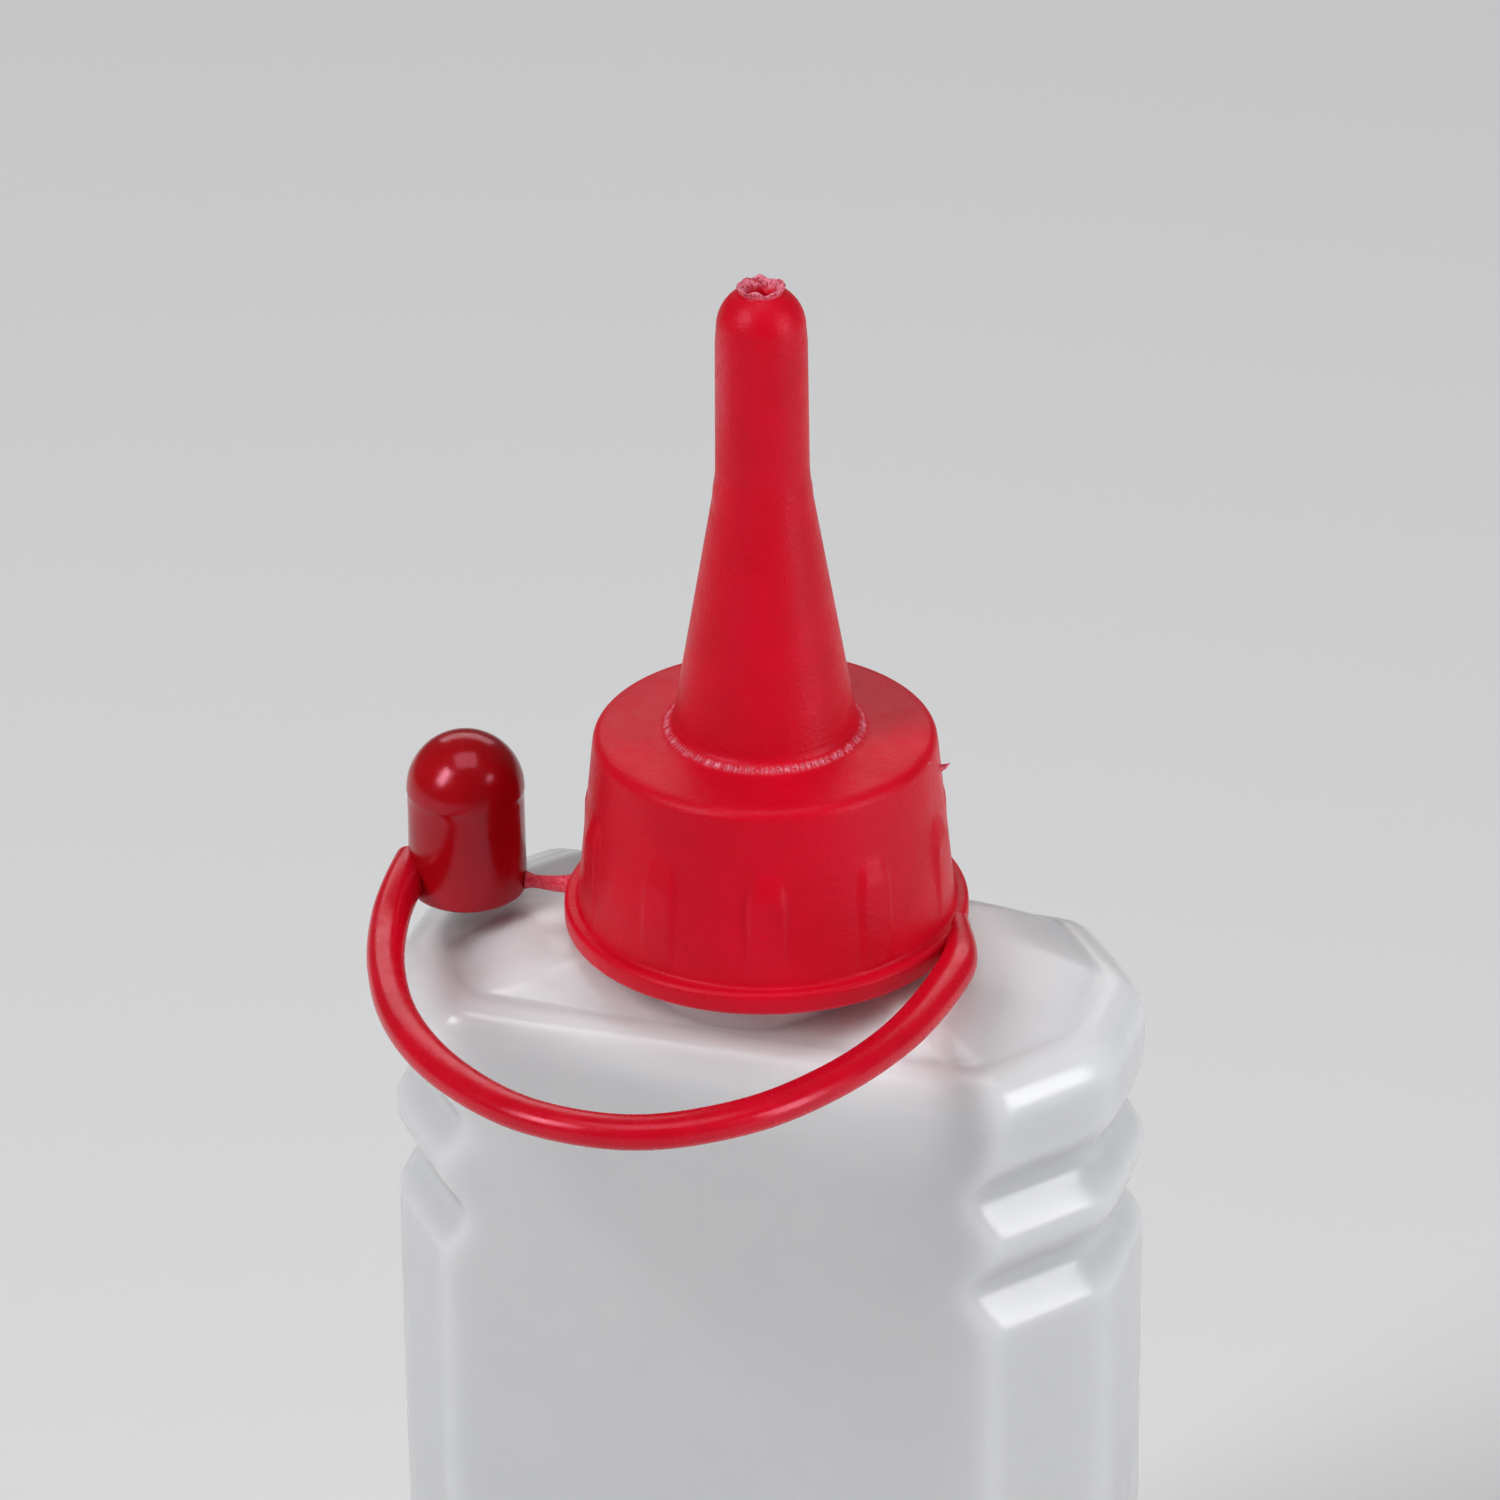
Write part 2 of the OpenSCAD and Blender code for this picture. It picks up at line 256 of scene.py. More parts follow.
class Finish:
    """A procedural material round one Principled shader."""

    def __init__(self, name, **sockets):
        self.material = bpy.data.materials.new(name)
        self.material.use_nodes = True
        self.tree = self.material.node_tree
        self.shader = self.tree.nodes["Principled BSDF"]
        for key, value in sockets.items():
            self.shader.inputs[key.replace("_", " ")].default_value = value
        self.place = self.tree.nodes.new("ShaderNodeTexCoord").outputs["Object"]

    def link(self, out, socket):
        self.tree.links.new(out, socket)

    def stretched(self, scale):
        """The object's own coordinates, scaled along each axis."""
        node = self.tree.nodes.new("ShaderNodeMapping")
        node.inputs["Scale"].default_value = scale
        self.link(self.place, node.inputs["Vector"])
        return node.outputs["Vector"]

    def noise(self, size, detail=2.0, rough=0.55, vector=None):
        """Noise whose features are about size metres across."""
        node = self.tree.nodes.new("ShaderNodeTexNoise")
        node.inputs["Scale"].default_value = 1 / size if vector is None else 1.0
        node.inputs["Detail"].default_value = detail
        node.inputs["Roughness"].default_value = rough
        self.link(vector or self.place, node.inputs["Vector"])
        return node.outputs["Fac"]

    def attribute(self, name):
        node = self.tree.nodes.new("ShaderNodeAttribute")
        node.attribute_name = name
        return node.outputs["Fac"]

    def span(self, value, low, high, to_low=0.0, to_high=1.0):
        """Maps low..high of a value to another range, clamped."""
        node = self.tree.nodes.new("ShaderNodeMapRange")
        for key, number in zip(("From Min", "From Max", "To Min", "To Max"),
                               (low, high, to_low, to_high)):
            node.inputs[key].default_value = number
        self.link(value, node.inputs["Value"])
        return node.outputs["Result"]

    def math(self, kind, a, b):
        node = self.tree.nodes.new("ShaderNodeMath")
        node.operation = kind
        for value, socket in zip((a, b), node.inputs):
            if isinstance(value, (int, float)):
                socket.default_value = value
            else:
                self.link(value, socket)
        return node.outputs["Value"]

    def blend(self, share, a, b):
        """Colour a where share is 0 and b where it is 1."""
        node = self.tree.nodes.new("ShaderNodeMix")
        node.data_type = "RGBA"
        self.link(share, node.inputs["Factor"])
        for value, socket in zip((a, b), [s for s in node.inputs if s.type == "RGBA"]):
            if isinstance(value, tuple):
                socket.default_value = (*value, 1)
            else:
                self.link(value, socket)
        return next(s for s in node.outputs if s.type == "RGBA")

    def bump(self, height, distance, strength=1.0, below=None):
        node = self.tree.nodes.new("ShaderNodeBump")
        node.inputs["Strength"].default_value = strength
        node.inputs["Distance"].default_value = distance
        self.link(height, node.inputs["Height"])
        if below is not None:
            self.link(below, node.inputs["Normal"])
        return node.outputs["Normal"]

    def wire(self, socket, value):
        self.link(value, self.shader.inputs[socket])


def red_plastic(name, color, dark, roughness, grain, streak, subsurface,
                specular=0.30):
    """Injection-moulded crimson polyethylene. Its wear attribute marks torn plastic, and also
    painted glints and a painted highlight; all are drawn a lighter pink.
    """
    f = Finish(name, IOR=1.5, Subsurface_Weight=subsurface, Subsurface_Scale=0.0012,
               Subsurface_Radius=(1.0, 0.25, 0.15), Specular_IOR_Level=specular,
               Specular_Tint=(1.0, 0.40, 0.55, 1.0))
    mottle = f.span(f.noise(6 * MM, 3), 0.35, 0.65)
    base = f.blend(mottle, color, dark)
    fine = f.noise(0.32 * MM, 3, 0.6)
    lines = f.noise(1, 3, 0.6, f.stretched((150, 150, 3600)))
    wear_and_glint = f.attribute("wear_and_glint")
    # The torn mask lightens the colour to pink: on torn plastic, and as painted glints and a
    # painted highlight on the spout.
    torn = f.math("MULTIPLY", wear_and_glint, f.span(f.noise(0.3 * MM, 2, 0.7), 0.33, 0.52))
    f.wire("Base Color", f.blend(torn, base, (0.90, 0.25, 0.34)))
    rough = f.span(f.noise(1.6 * MM, 4, 0.65), 0.3, 0.7, roughness - 0.06, roughness + 0.09)
    f.wire("Roughness", f.math("ADD", rough, f.math("MULTIPLY", torn, 0.15)))
    normal = f.bump(f.noise(3.2 * MM, 1), 0.12 * MM, 0.25)
    normal = f.bump(fine, 0.05 * MM, grain, normal)
    normal = f.bump(lines, 0.03 * MM, streak, normal)
    normal = f.bump(torn, 0.12 * MM, 0.9, normal)
    f.wire("Normal", normal)
    return f.material


def milky_plastic():
    """Blow-moulded natural polyethylene: milky, translucent, softly glossy."""
    f = Finish("milky_polyethylene", IOR=1.5, Subsurface_Weight=1.0, Subsurface_Scale=0.004,
               Subsurface_Radius=(1.0, 1.0, 1.0))
    cloud = f.span(f.noise(14 * MM, 3), 0.3, 0.7)
    f.wire("Base Color", f.blend(cloud, (0.84, 0.855, 0.90), (0.79, 0.81, 0.865)))
    f.wire("Roughness", f.span(f.noise(9 * MM, 3, 0.5), 0.3, 0.7, 0.22, 0.27))
    normal = f.bump(f.noise(12 * MM, 1), 0.2 * MM, 0.25)
    normal = f.bump(f.noise(1.5 * MM, 3), 0.02 * MM, 0.25, normal)
    lines = f.noise(1, 2, 0.5, f.stretched((700, 700, 45)))
    normal = f.bump(lines, 0.03 * MM, 0.2, normal)
    f.wire("Normal", normal)
    return f.material


def washer_foam():
    """Foamed polyethylene: matt white with fine cells."""
    f = Finish("foamed_polyethylene", Subsurface_Weight=0.3, Subsurface_Scale=0.0008)
    cells = f.noise(0.35 * MM, 2, 0.5)
    f.wire("Base Color", f.blend(cells, (0.90, 0.90, 0.86), (0.80, 0.80, 0.77)))
    f.wire("Roughness", f.span(cells, 0.3, 0.7, 0.6, 0.8))
    f.wire("Normal", f.bump(cells, 0.08 * MM, 0.6))
    return f.material


def floor_finish():
    f = Finish("pale_floor", Roughness=0.75)
    f.wire("Base Color", f.blend(f.noise(0.25), (0.80, 0.80, 0.805), (0.78, 0.78, 0.79)))
    return f.material


CAP_RED = red_plastic("crimson_polyethylene", (0.66, 0.002, 0.019), (0.58, 0.002, 0.014),
                      0.38, 0.9, 0.8, 0.08)
# The tip cap is the closure's crimson polyethylene, glossier, with painted shade darkening its
# colour.
TIP_RED_PAINTED_SHADE = red_plastic("crimson_polyethylene_painted_shade", (0.40, 0.002, 0.006), (0.33, 0.002, 0.005),
                      0.17, 0.15, 0.1, 0.05, 0.6)
STRAP_RED = red_plastic("tether_polyethylene", (0.64, 0.002, 0.018), (0.56, 0.002, 0.014),
                        0.24, 0.15, 0.0, 0.0, 0.55)
MILKY = milky_plastic()
FOAM = washer_foam()


# ---------------------------------------------------------------- bottle

def groove_at(drop):
    """How far the waist grooves cut in at a drop below the flange."""
    total = 0.0
    for centre in GROOVES:
        if abs(drop - centre) < GROOVE_HALF:
            total += GROOVE_DEPTH * (1 + math.cos(math.pi * (drop - centre) / GROOVE_HALF)) / 2
    return total


def front_curve(drop):
    """How far the front and back have curved in at a drop below the flange."""
    u = max(0.0, FRONT_RISE + SHOULDER_EDGE - drop) / FRONT_RISE
    return FRONT_IN * (1 - math.sqrt(max(0.0, 1 - u * u)))


def outline_radii(angles, half_w, half_d, groove):
    """Radius of the rounded eight-sided outline in each direction. Each pair of
    faces is a distance, and a power mean of them rounds the corners."""
    k = half_d / HALF_D
    length = CHAMFER.length
    normal = (CHAMFER.y / length, CHAMFER.x / length)
    c, s = np.abs(np.cos(angles)), np.abs(np.sin(angles))
    chamfer_d = normal[0] * (half_w - k * CHAMFER.x) + normal[1] * half_d - groove
    faces = [c / (half_w - groove), (normal[0] * c + normal[1] * s) / chamfer_d, s / half_d]
    return sum(f ** CORNER_POWER for f in faces) ** (-1 / CORNER_POWER)


def outline_angles():
    """Directions that divide the outline's length evenly."""
    dense = np.linspace(0, 2 * math.pi, 7201)
    r = outline_radii(dense, HALF_W, HALF_D, 0)
    x, y = r * np.cos(dense), r * np.sin(dense)
    along = np.concatenate([[0], np.cumsum(np.hypot(np.diff(x), np.diff(y)))])
    even = np.linspace(0, along[-1], OUTLINE_POINTS + 1)[:-1]
    return np.interp(even, along, dense)


def body_rings(angles, t, fine):
    """(radii, height) of each ring of the body from base to shoulder, shrunk by t."""
    a, b = HALF_W - t, HALF_D - t
    rings = []
    for u in np.linspace(0, math.pi / 2, 9):
        inset = BASE_FILLET * (1 - math.sin(u))
        rings.append((outline_radii(angles, a - inset, b - inset, 0),
                      t + BASE_FILLET * (1 - math.cos(u))))
    low_drop = GROOVES[1] + GROOVE_HALF + 1 * MM
    for z in np.arange(t + BASE_FILLET + 2 * MM, FLANGE_Z - low_drop, 2 * MM):
        rings.append((outline_radii(angles, a, b, 0), z))
    edge = SHOULDER_EDGE + SHOULDER_FILLET
    for drop in np.arange(low_drop, edge + 0.2 * MM, -fine):
        rings.append((outline_radii(angles, a, b - front_curve(drop), groove_at(drop)),
                      FLANGE_Z - drop - t / 2))
    for u in np.linspace(0, math.pi / 2, 13):
        rise = SHOULDER_FILLET * math.sin(u)
        drop = edge - rise
        inward = 1 - math.cos(u)
        radii = outline_radii(angles, a - SHOULDER_FILLET * inward,
                              b - front_curve(drop) - SHOULDER_IN * inward, 0)
        rings.append((radii, FLANGE_Z - drop - t))
    return rings


def shoulder_rings(angles, last, neck_r, t):
    """Rings from the shoulder's edge in to the neck, rising as they go."""
    rings = []
    foot = neck_r + 0.5 * MM
    room = np.clip((last - foot) / SHOULDER_RUN, 0, 1)
    full_rise = (SHOULDER_EDGE - SHOULDER_TOP) * room
    for u in np.linspace(0, 1, 22)[1:]:
        rise = full_rise * math.sin(math.pi / 2 * min(1.0, u / 0.8)) ** 0.9
        rings.append((last + (foot - last) * u, FLANGE_Z - SHOULDER_EDGE + rise - t))
    return rings


def waviness(points, amount):
    """Small wandering of a blow-moulded wall."""
    shift = Vector((5, 3, 1))
    return np.array([noise.noise(Vector(p) * 45) + 0.5 * noise.noise(Vector(p) * 120 + shift)
                     for p in points]) * amount


def build_bottle():
    angles = outline_angles()
    outer = body_rings(angles, 0, 0.3 * MM)
    outer += shoulder_rings(angles, outer[-1][0], NECK_R, 0)
    neck_z = np.arange(0.5 * MM, NECK_RISE - 0.3 * MM, 0.2 * MM)
    thread = thread_height(angles, neck_z, THREAD_LOW, NECK_TURNS) * THREAD_HEIGHT
    circle = np.ones_like(angles)
    for r, z in arc(NECK_R + 0.5 * MM, 0.0, 0.5 * MM, 250, 180, 4):
        outer.append((r * circle, FLANGE_Z + z))
    for z, lift in zip(neck_z, thread):
        outer.append((NECK_R + lift, FLANGE_Z + z))
    rim = arc(NECK_R - 0.3 * MM, NECK_RISE - 0.3 * MM, 0.3 * MM, 0, 90, 4)
    rim += arc(MOUTH_R + 0.25 * MM, NECK_RISE - 0.25 * MM, 0.25 * MM, 90, 180, 4)
    outer += [(r * circle, FLANGE_Z + z) for r, z in rim]
    inner = body_rings(angles, WALL, 0.6 * MM)
    inner += shoulder_rings(angles, inner[-1][0], MOUTH_R, WALL)
    inner = inner[::-1]
    floor_rings = [(outer[0][0] * s, PUSH_UP * float(smooth((1 - s) * 1.6)))
                   for s in np.linspace(0.04, 0.96, 20)]
    inner_floor = [(inner[-1][0] * s, WALL + PUSH_UP * float(smooth((1 - s) * 1.6)))
                   for s in np.linspace(0.96, 0.04, 14)]
    rings = floor_rings + outer + inner + inner_floor
    radii = np.array([r for r, _ in rings])
    z = np.array([h * circle for _, h in rings])
    # The mould's parting line: a fine raised seam down both narrow sides.
    body = np.zeros(len(rings), bool)
    body[len(floor_rings) + 6:len(floor_rings) + len(outer) - 10] = True
    y = radii * np.sin(angles)
    seam = np.exp(-(y / (0.16 * MM)) ** 2) * 0.07 * MM
    radii = radii - 0.07 * MM * body[:, None] + seam * body[:, None]
    # The pinched-off weld across the base.
    x = radii * np.cos(angles)
    weld = np.exp(-(y / (0.35 * MM)) ** 4) * smooth((11 * MM - np.abs(x)) / (2 * MM))
    under = np.zeros(len(rings))
    under[:len(floor_rings)] = 1
    z = z - weld * under[:, None] * 0.45 * MM
    grid = np.stack([radii * np.cos(angles), radii * np.sin(angles), z], -1)
    wave = waviness(grid.reshape(-1, 3), 0.07 * MM).reshape(radii.shape)
    low = len(floor_rings) + 9
    high = len(floor_rings) + len(outer) - 90
    keep = np.zeros(len(rings))
    keep[low:high] = 1
    inward = (wave - 0.07 * MM) / 2 * keep[:, None]
    grid[..., 0] += inward * np.cos(angles)
    grid[..., 1] += inward * np.sin(angles)
    return skin("bottle_shell", grid, material=MILKY)


# ---------------------------------------------------------------- closure

def closure_profile():
    """The closure's section as one loop, and the zone of each of its points."""
    zones = [
        ("plain", line((SOCKET_R + 0.3 * MM, 0), (FLANGE_R - 0.4 * MM, 0), 4)),
        ("plain", arc(FLANGE_R - 0.4 * MM, 0.4 * MM, 0.4 * MM, -90, 0, 5)),
        ("plain", arc(FLANGE_R - 0.45 * MM, FLANGE_T - 0.45 * MM, 0.45 * MM, 0, 90, 6)),
        ("plain", arc(SKIRT_FOOT_R + 0.35 * MM, FLANGE_T + 0.3 * MM, 0.3 * MM, 270, 185, 5)),
        ("skirt", line((SKIRT_FOOT_R, FLANGE_T + 0.45 * MM),
                       (SKIRT_TOP_R + 0.02 * MM, SKIRT_H - 0.95 * MM), 46)),
        ("plain", arc(SKIRT_TOP_R - 0.9 * MM, SKIRT_H - 0.9 * MM, 0.9 * MM, 4, 84, 8)),
        ("plain", line((SKIRT_TOP_R - 0.86 * MM, SKIRT_H + 0.01 * MM),
                       (FOOT_R + 0.85 * MM, SKIRT_H + 0.3 * MM), 12)),
        ("foot", line((FOOT_R + 0.8 * MM, SKIRT_H + 0.3 * MM),
                      (FOOT_R + 0.05 * MM, FOOT_Z - 0.1 * MM), 9)),
        ("spout", line((FOOT_R, FOOT_Z), (TIP_R + 0.27 * MM, STEP_Z - 0.5 * MM), 44)),
        ("spout", line((TIP_R + 0.26 * MM, STEP_Z), (TIP_R + 0.1 * MM, STEP_Z + 1 * MM), 4)),
        ("spout", line((TIP_R + 0.09 * MM, STEP_Z + 1.3 * MM),
                       (TIP_R, SPOUT_TOP - 4 * MM), 24)),
        ("spout", arc(0, SPOUT_TOP - 3.3 * MM, TIP_R - 0.08 * MM, 8, 60, 14)),
        ("lip", [(1.50 * MM, SPOUT_TOP - 0.50 * MM), (1.48 * MM, SPOUT_TOP - 0.36 * MM),
                 (1.52 * MM, SPOUT_TOP - 0.2 * MM), (1.52 * MM, SPOUT_TOP - 0.07 * MM),
                 (1.42 * MM, SPOUT_TOP), (1.3 * MM, SPOUT_TOP - 0.06 * MM),
                 (1.2 * MM, SPOUT_TOP - 0.25 * MM), (1.05 * MM, SPOUT_TOP - 0.5 * MM),
                 (0.92 * MM, SPOUT_TOP - 0.72 * MM)]),
        ("bore", line((0.8 * MM, SPOUT_TOP - 0.95 * MM), (0.8 * MM, SPOUT_TOP - 2.6 * MM), 5)),
        ("bore", line((0.8 * MM, SPOUT_TOP - 2.6 * MM), (2.0 * MM, SPOUT_TOP - 4 * MM), 4)),
        ("bore", line((2.0 * MM, SPOUT_TOP - 4 * MM), (2.1 * MM, STEP_Z), 6)),
        ("bore", line((2.1 * MM, STEP_Z), (4.7 * MM, CEILING + 1 * MM), 10)),
        ("bore", line((4.7 * MM, CEILING + 1 * MM), (4.7 * MM, CEILING), 3)),
        ("bore", line((4.7 * MM, CEILING), (SOCKET_R - 0.3 * MM, CEILING), 8)),
        ("thread", line((SOCKET_R, CEILING - 0.3 * MM), (SOCKET_R, 0.3 * MM), 62)),
    ]
    points = [p for _, part in zones for p in part]
    names = [zone for zone, part in zones for _ in part]
    return np.array(points), np.array(names)


def rib_field(angles, profile):
    """How far the grip ribs stand out. A rib's face is nearly upright and the skirt
    leans in, so a rib grows from nothing at the flange and ends in a short slope."""
    z = profile[:, 1][:, None]
    r = profile[:, 0][:, None]
    step = 2 * math.pi / RIBS
    off = np.mod(angles - RIB_START - CAP_TURN + step / 2, step) - step / 2
    across = np.abs(off)[None, :] * r
    side = smooth((RIB_W / 2 + 0.2 * MM - across) / (0.4 * MM))
    face = SKIRT_FOOT_R + 0.08 * MM - (z - FLANGE_T) * 0.046
    stand = np.maximum(0, face - r)
    round_off = RIB_TOP - 0.9 * MM * (across / (RIB_W / 2)) ** 4
    top = np.clip((round_off - z) / (1.9 * MM), 0, 1)
    return stand * side * top


def build_closure():
    profile, zone = closure_profile()
    angles = np.linspace(0, 2 * math.pi, LATHE_POINTS, endpoint=False)
    radii = np.zeros((len(profile), len(angles)))
    heights = np.zeros_like(radii)
    wear_and_glint = np.zeros_like(radii)
    rng = np.random.default_rng(11)

    skirt = zone == "skirt"
    radii[skirt] += rib_field(angles, profile[skirt])
    threads = zone == "thread"
    radii[threads] -= THREAD_HEIGHT * thread_height(
        angles - CAP_TURN, profile[threads][:, 1], THREAD_LOW + PITCH / 2, CAP_TURNS)

    # The machined ring round the spout's foot: short radial cuts. Its lighter pink, strongest on
    # the raised cuts, is painted glint.
    foot = np.flatnonzero(zone == "foot")
    inside = np.sin(np.linspace(0, math.pi, len(foot)))
    cuts = rng.uniform(-1, 1, len(angles))
    for row, depth in zip(foot, inside):
        heights[row] += cuts * depth * 0.07 * MM
        # Painted glints: the raised cuts get a lighter pink colour.
        wear_and_glint[row] = depth ** 2 * (0.25 + 0.75 * (cuts > 0))

    # The torn gate at the outlet: a ragged lip, bent out on two sides.
    lip = np.flatnonzero(zone == "lip")
    crest = np.sin(np.linspace(0.15, math.pi - 0.5, len(lip)))
    ragged = ripple(angles, 3, 9, 2)
    out = ripple(angles, 5, 7, 2)
    facing = RIB_START + CAP_TURN
    two_sided = np.abs(np.sin(angles - facing)) ** 3
    for row, share in zip(lip, crest):
        radii[row] += share * (0.10 * MM * out + 0.16 * MM * two_sided
                               + rng.normal(0, 0.02 * MM, len(angles)))
        heights[row] -= share * 0.22 * MM * (1 + ragged).clip(0, 2) * (1 - 0.6 * two_sided)
        wear_and_glint[row] = 0.35 + 0.65 * share
    wear_and_glint[lip[-1]] = 0.2

    # A rougher, scuffed band on the left of the spout's upper part, as when a nozzle is handled;
    # the lighter pink on this side, which faces the left softbox, is a painted highlight.
    spout = np.flatnonzero(zone == "spout")
    left = math.cos(math.radians(50))
    side = np.clip((np.cos(angles - facing + math.pi / 2) - left) / (1 - left), 0, 1)
    for row in spout:
        z = profile[row][1]
        band = float(smooth((z - 38 * MM) / (3 * MM)) * smooth((SPOUT_TOP - 2 * MM - z) / (2 * MM)))
        wear_and_glint[row] = 0.22 * band * side

    grid = lathe(profile, angles, (0, 0, FLANGE_Z), radii, heights)
    grid[..., 2] = np.minimum(grid[..., 2], closure_high.z)
    return skin("closure_shell", grid, ring_loop=True, material=CAP_RED,
                attributes={"wear_and_glint": wear_and_glint})


def fleck(rng, at, out, size):
    """Points and faces of one small torn chip of plastic that stands out of a surface."""
    out = Vector(out).normalized()
    side = out.cross(Vector((0, 0, 1))).normalized()
    up = side.cross(out)
    rings, n = 7, 9
    points = []
    for i in range(rings):
        u = i / (rings - 1)
        w = size * (0.55 * (1 - u) ** 0.6 + 0.02) * rng.uniform(0.8, 1.2)
        bend = up * (size * 0.5 * u * u)
        for j in range(n):
            a = 2 * math.pi * j / n
            reach = w * rng.uniform(0.85, 1.15)
            points.append(Vector(at) + out * (size * (1.3 * u - 0.2)) + bend
                          + side * (reach * math.cos(a)) + up * (reach * 0.6 * math.sin(a)))
    faces = [(i * n + j, i * n + (j + 1) % n, (i + 1) * n + (j + 1) % n, (i + 1) * n + j)
             for i in range(rings - 1) for j in range(n)]
    faces.append(tuple(range(n))[::-1])
    faces.append(tuple((rings - 1) * n + j for j in range(n)))
    return points, faces


def build_flash():
    """Chips of moulding flash on the skirt and at the spout's foot."""
    rng = random.Random(5)
    right = RIB_START + CAP_TURN + math.pi / 2
    spots = [(right - 0.02, SKIRT_TOP_R + 0.25 * MM, 11.8 * MM, 0.6 * MM),
             (right + 0.62, FOOT_R - 0.05 * MM, 16.6 * MM, 0.8 * MM),
             (right - 0.35, SKIRT_TOP_R - 0.05 * MM, 14.3 * MM, 0.25 * MM),
             (right + 2.2, SKIRT_FOOT_R - 0.1 * MM, 2.6 * MM, 0.3 * MM)]
    points, faces = [], []
    for angle, r, z, size in spots:
        out = (math.cos(angle), math.sin(angle), 0.15)
        p, f = fleck(rng, (r * out[0], r * out[1], FLANGE_Z + z), out, size)
        faces += [tuple(len(points) + i for i in face) for face in f]
        points += p
    mesh = bpy.data.meshes.new("moulding_flash")
    mesh.from_pydata(points, [], faces)
    layer = mesh.attributes.new("wear_and_glint", "FLOAT", "POINT")
    layer.data.foreach_set("value", [0.8] * len(points))
    mesh.polygons.foreach_set("use_smooth", [True] * len(mesh.polygons))
    outward(mesh)
    mesh.materials.append(CAP_RED)
    obj = bpy.data.objects.new("moulding_flash", mesh)
    bpy.context.scene.collection.objects.link(obj)
    return obj


def build_web():
    """The thin twisted web that joins the tip cap to the flange until it is torn."""
    gap = TIP_CAP_AT.xy.length - TIP_CAP_R - FLANGE_R
    start = FLANGE_R - 0.25 * MM
    end = FLANGE_R + gap - 0.05 * MM
    rows, n = 26, 24
    grid = np.zeros((rows, n, 3))
    for i in range(rows):
        u = i / (rows - 1)
        flare = abs(2 * u - 1) ** 3
        tall = (0.60 + 0.15 * flare) * MM
        deep = (0.30 + 0.35 * flare) * MM
        twist = math.radians(70) * (u - 0.5)
        x = -(start + (end - start) * u)
        for j in range(n):
            a = 2 * math.pi * j / n
            y, z = deep * math.cos(a), tall * math.sin(a)
            turned = (y * math.cos(twist) - z * math.sin(twist),
                      y * math.sin(twist) + z * math.cos(twist))
            sag = -0.1 * MM * math.sin(math.pi * u)
            grid[i, j] = on_cap(x, turned[0], 0.92 * MM + turned[1] + sag)
    wear_and_glint = np.full((rows, n), 0.25)
    return skin("break_off_web", grid, material=STRAP_RED, attributes={"wear_and_glint": wear_and_glint})


# ---------------------------------------------------------------- tip cap, washer

def build_tip_cap():
    top = TIP_CAP_H
    dome = top - TIP_CAP_R
    outer = arc(TIP_CAP_R - 0.35 * MM, 0.35 * MM, 0.35 * MM, -90, 0, 6)
    outer += line((TIP_CAP_R, 0.4 * MM), (TIP_CAP_R - 0.06 * MM, dome - 0.35 * MM), 20)
    outer += [(TIP_CAP_R - 0.05 * MM, dome - 0.2 * MM), (TIP_CAP_R - 0.01 * MM, dome - 0.08 * MM)]
    outer += arc(0, dome, TIP_CAP_R, 0, 89.2, 34)
    inner = arc(0, 7.8 * MM, 3.4 * MM, 89, 0, 16)
    inner += line((3.4 * MM, 7.4 * MM), (3.6 * MM, 0.4 * MM), 12)
    inner += [(3.62 * MM, 0.3 * MM), (3.7 * MM, 0.12 * MM), (3.78 * MM, 0.03 * MM)]
    profile = np.array(outer + inner)
    angles = np.linspace(0, 2 * math.pi, 240, endpoint=False)
    # The loop is opened on the axis, where both domes close to a point.
    cut = len(outer)
    rows = np.vstack([profile[:cut][::-1], profile[cut:][::-1]])
    grid = lathe(rows, angles, TIP_CAP_AT)
    return skin("tip_cap_shell", grid, material=TIP_RED_PAINTED_SHADE,
                attributes={"wear_and_glint": np.zeros(grid.shape[:2])})


def build_washer():
    inner = 4.7 * MM
    outer = washer_high.x - 0.02 * MM
    t = washer_high.z - washer_low.z
    e = 0.12 * MM
    profile = (arc(inner + e, e, e, 180, 270, 3) + line((inner + 2 * e, 0), (outer - e, 0), 10)
               + arc(outer - e, e, e, -90, 0, 3) + arc(outer - e, t - e, e, 0, 90, 3)
               + line((outer - 2 * e, t), (inner + e, t), 10)
               + arc(inner + e, t - e, e, 90, 180, 3))
    angles = np.linspace(0, 2 * math.pi, 160, endpoint=False)
    grid = lathe(profile, angles, (0, 0, washer_low.z))
    return skin("washer_ring", grid, ring_loop=True, material=FOAM)


# ---------------------------------------------------------------- tether

HINGES = [j for j in frame["joints"] if j["name"].startswith("tether_bend_")]
HINGES.sort(key=lambda j: int(j["name"].rsplit("_", 1)[1]))


def hinge_point(joint):
    x, y = joint["pos_m"][:2]
    return np.array([x, y])


ROUTE = [np.array(on_cap(*TETHER_START))[:2], np.array(on_cap(*TETHER_ROOT))[:2]]
ROUTE += [hinge_point(j) for j in HINGES]
ROUTE += [np.array(on_cap(*TETHER_END))[:2]]


def route_at(span, t):
    """Point and direction on the tether's route, t of the way along one span."""
    last = len(ROUTE) - 1
    p0, p1, p2, p3 = (ROUTE[max(0, min(last, span + k))] for k in (-1, 0, 1, 2))
    point = 0.5 * (2 * p1 + (p2 - p0) * t + (2 * p0 - 5 * p1 + 4 * p2 - p3) * t ** 2
                   + (3 * p1 - p0 - 3 * p2 + p3) * t ** 3)
    way = 0.5 * (p2 - p0 + (4 * p0 - 10 * p1 + 8 * p2 - 2 * p3) * t
                 + (9 * p1 - 3 * p0 - 9 * p2 + 3 * p3) * t ** 2)
    return point, way / np.linalg.norm(way)


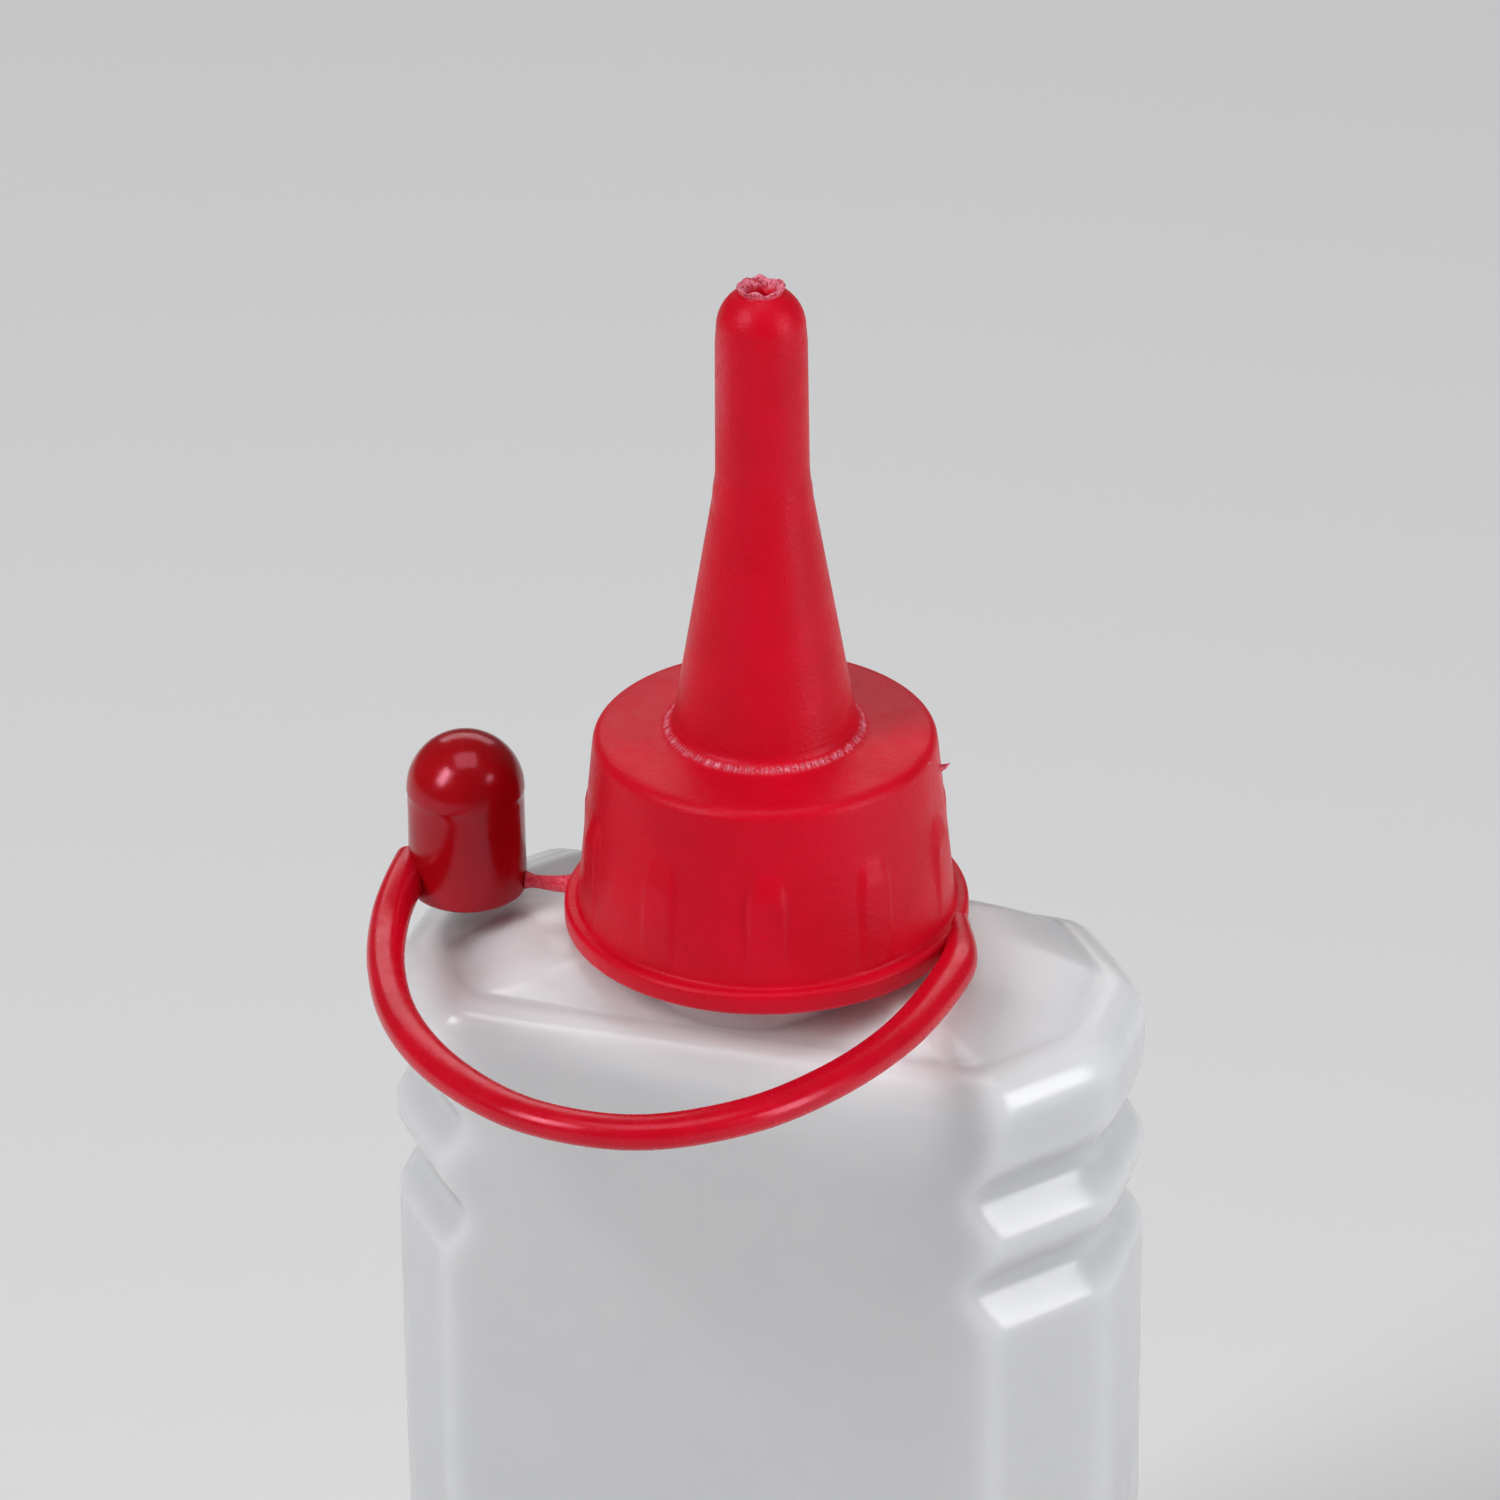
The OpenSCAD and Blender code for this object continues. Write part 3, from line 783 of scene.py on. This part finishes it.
def tether_ring(span, t, n=32):
    """One cross-section of the tether: a soft oval, swelling where it grows into the tip cap, and
    slimmer and lower where it meets the flange."""
    point, way = route_at(span, t)
    side = np.array([-way[1], way[0]])
    along = span + t
    near_tip = float(smooth((along - (len(ROUTE) - 2.35)) / 1.1))
    near_flange = float(smooth((1.7 - along) / 1.7))
    half_w = TETHER_W / 2 - 0.03 * MM * math.sin(along * 2.1) - 0.55 * MM * near_flange
    half_t = TETHER_T / 2 - 0.03 * MM + 0.4 * MM * near_tip - 0.35 * MM * near_flange
    z = TETHER_Z + 0.38 * MM * near_tip - 0.32 * MM * near_flange
    point = point - side * 0.75 * MM * near_flange
    ring = np.zeros((n, 3))
    for i in range(n):
        a = 2 * math.pi * i / n
        c, s = math.cos(a), math.sin(a)
        u = half_w * math.copysign(abs(c) ** 0.88, c)
        v = half_t * math.copysign(abs(s) ** 0.88, s)
        ring[i] = (*(point + side * u), z + v)
    return ring


def keep_out_of_socket(grid):
    """Pushes points that would stand inside the tip cap's socket into its wall."""
    centre = np.array(TIP_CAP_AT)[:2]
    off = grid[..., :2] - centre
    r = np.linalg.norm(off, axis=-1, keepdims=True)
    limit = 3.85 * MM
    pushed = centre + off / np.maximum(r, 1e-9) * limit
    grid[..., :2] = np.where(r < limit, pushed, grid[..., :2])
    return grid


def build_tether():
    """Ten lengths of tether. Each spans one hinge, from the middle of one stretch to the middle of
    the next."""
    per_half = 14
    count = len(HINGES)
    nodes = ["tether_root"] + [f"tether_{k}" for k in range(1, count)]
    for k, joint in enumerate(HINGES, start=1):
        steps = [(k, 0.5 + 0.5 * i / per_half) for i in range(per_half)]
        steps += [(k + 1, 0.5 * i / per_half) for i in range(per_half + 1)]
        if k == 1:
            steps = ([(0, i / 12) for i in range(12)]
                     + [(1, 0.5 * i / per_half) for i in range(per_half)] + steps)
        if k == count:
            steps += [(k + 1, 0.5 + 0.5 * i / per_half) for i in range(1, per_half + 1)]
        grid = np.array([tether_ring(span, t) for span, t in steps])
        if k == count:
            grid = keep_out_of_socket(grid)
        name = f"tether_strap_{k}"
        piece = skin(name, grid, material=STRAP_RED,
                     attributes={"wear_and_glint": np.zeros(grid.shape[:2])})
        flatten_ends(piece.data, grid.shape)
        (start, way_1), (end, way_2) = route_at(k, 0.5), route_at(k + 1, 0.5)
        inset = 0.45 * MM
        start, end = start + way_1 * inset, end - way_2 * inset
        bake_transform(piece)
        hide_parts(nodes[k - 1])


# ---------------------------------------------------------------- the object

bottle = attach(build_bottle(), "bottle")
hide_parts("bottle")

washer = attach(build_washer(), "washer")
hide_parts("sealing_washer")

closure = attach(build_closure(), "cap")
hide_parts("spout_cap")

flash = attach(build_flash(), "cap")

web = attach(build_web(), "cap")
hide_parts("break_off_tab")

tip_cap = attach(build_tip_cap(), "tip_cap")
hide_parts("tip_cap")

build_tether()


# ---------------------------------------------------------------- camera, light, floor

VIEW_AZIMUTH = math.radians(17)
VIEW_ELEVATION = math.radians(28.9)
VIEW_ROLL = math.radians(-0.6)
VIEW_DISTANCE = 0.6017
VIEW_RIGHT = -1.06 * MM
VIEW_UP = 11.6 * MM


def add_camera():
    ca, sa = math.cos(VIEW_AZIMUTH), math.sin(VIEW_AZIMUTH)
    ce, se = math.cos(VIEW_ELEVATION), math.sin(VIEW_ELEVATION)
    right = Vector((ca, sa, 0))
    up = Vector((-sa * se, ca * se, ce))
    forward = Vector((-sa * ce, ca * ce, -se))
    camera = bpy.data.objects.new("camera", bpy.data.cameras.new("camera"))
    camera.data.sensor_width = 36
    camera.data.lens = 204
    camera.data.clip_start = 0.01
    camera.data.clip_end = 50
    at = Vector((0, 0, FLANGE_Z)) - forward * VIEW_DISTANCE + right * VIEW_RIGHT + up * VIEW_UP
    turn = Matrix((right, up, -forward)).transposed().to_4x4()
    camera.matrix_world = Matrix.Translation(at) @ turn @ Matrix.Rotation(VIEW_ROLL, 4, "Z")
    bpy.context.scene.collection.objects.link(camera)
    bpy.context.scene.camera = camera


def add_softbox(name, at, size, power, aim=Vector((0, 0, 0.1))):
    """A rectangular soft light that faces the bottle."""
    data = bpy.data.lights.new(name, "AREA")
    data.shape = "RECTANGLE"
    data.size, data.size_y = size
    data.energy = power
    light = bpy.data.objects.new(name, data)
    light.location = at
    light.visible_camera = False
    light.rotation_euler = (aim - Vector(at)).to_track_quat("-Z", "Y").to_euler()
    bpy.context.scene.collection.objects.link(light)


def add_floor():
    n, radius = 96, 6.0
    rim = [(radius * math.cos(2 * math.pi * i / n), radius * math.sin(2 * math.pi * i / n), 0)
           for i in range(n)]
    mesh = bpy.data.meshes.new("floor")
    mesh.from_pydata(rim, [], [tuple(range(n))])
    mesh.materials.append(floor_finish())
    floor = bpy.data.objects.new("floor", mesh)
    bpy.context.scene.collection.objects.link(floor)


add_camera()
add_softbox("left_softbox", (-0.47, -0.58, 0.68), (0.28, 0.50), 5.4)
add_softbox("right_softbox", (0.84, -0.12, 0.34), (0.26, 0.62), 4.2)
add_softbox("back_softbox", (-0.24, 0.80, 0.56), (0.90, 0.32), 1.5)
add_softbox("top_softbox", (0.05, -0.10, 1.15), (0.7, 0.6), 3.2)
add_floor()

world = bpy.data.worlds.new("studio")
world.use_nodes = True
world.node_tree.nodes["Background"].inputs["Color"].default_value = (0.90, 0.92, 0.95, 1)
world.node_tree.nodes["Background"].inputs["Strength"].default_value = 0.10
bpy.context.scene.world = world
bpy.context.scene.view_settings.view_transform = "Standard"
